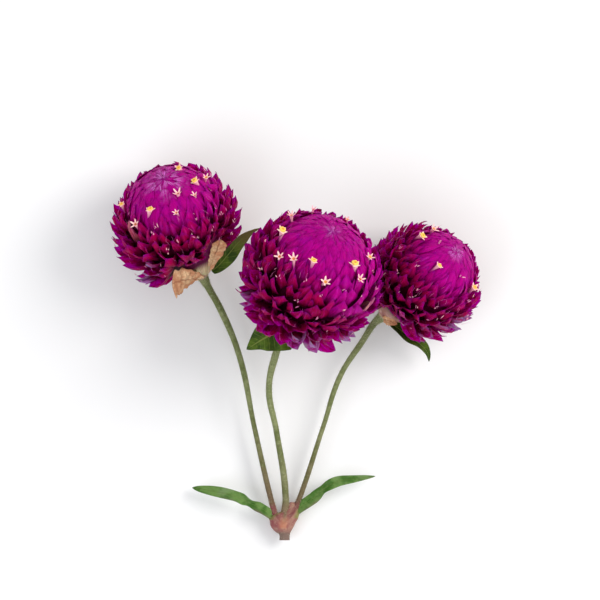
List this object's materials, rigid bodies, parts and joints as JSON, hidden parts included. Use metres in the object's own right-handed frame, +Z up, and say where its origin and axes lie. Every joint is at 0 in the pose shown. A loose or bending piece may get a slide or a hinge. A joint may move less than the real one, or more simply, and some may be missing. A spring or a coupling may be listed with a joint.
{
  "type": "dried globe amaranth stem",
  "caption": "Cut stem of globe amaranth lying flat: round heads of magenta papery bracts on slender stalks that branch from a swollen joint, with narrow green leaves and dry scales.",
  "frame": {"origin": "On the surface that the stem lies on, at the middle of the footprint of its bounding box.", "axes": "+Z up from the surface. +Y along the stem from the cut end to the flower heads. +X to the right as seen from above with the heads away from the viewer."},
  "size_m": [0.075, 0.0763, 0.0396],
  "materials": {
    "bracts": "papery, soft sheen",
    "stalk": "matte, finely downy",
    "green_leaf": "matte",
    "dry_scale": "dry, matte"
  },
  "bodies": {
    "root": {"stem": "stalk", "head_left": "bracts", "head_middle": "bracts", "head_right": "bracts", "leaf_left_head": "green_leaf", "leaf_middle_head": "green_leaf", "leaf_middle_under": "green_leaf", "leaf_right_head": "green_leaf", "leaf_joint_left": "green_leaf", "leaf_joint_right": "green_leaf", "dry_scale_left_low": "dry_scale", "dry_scale_left_side": "dry_scale", "dry_scale_right": "dry_scale"}
  },
  "joints": []
}
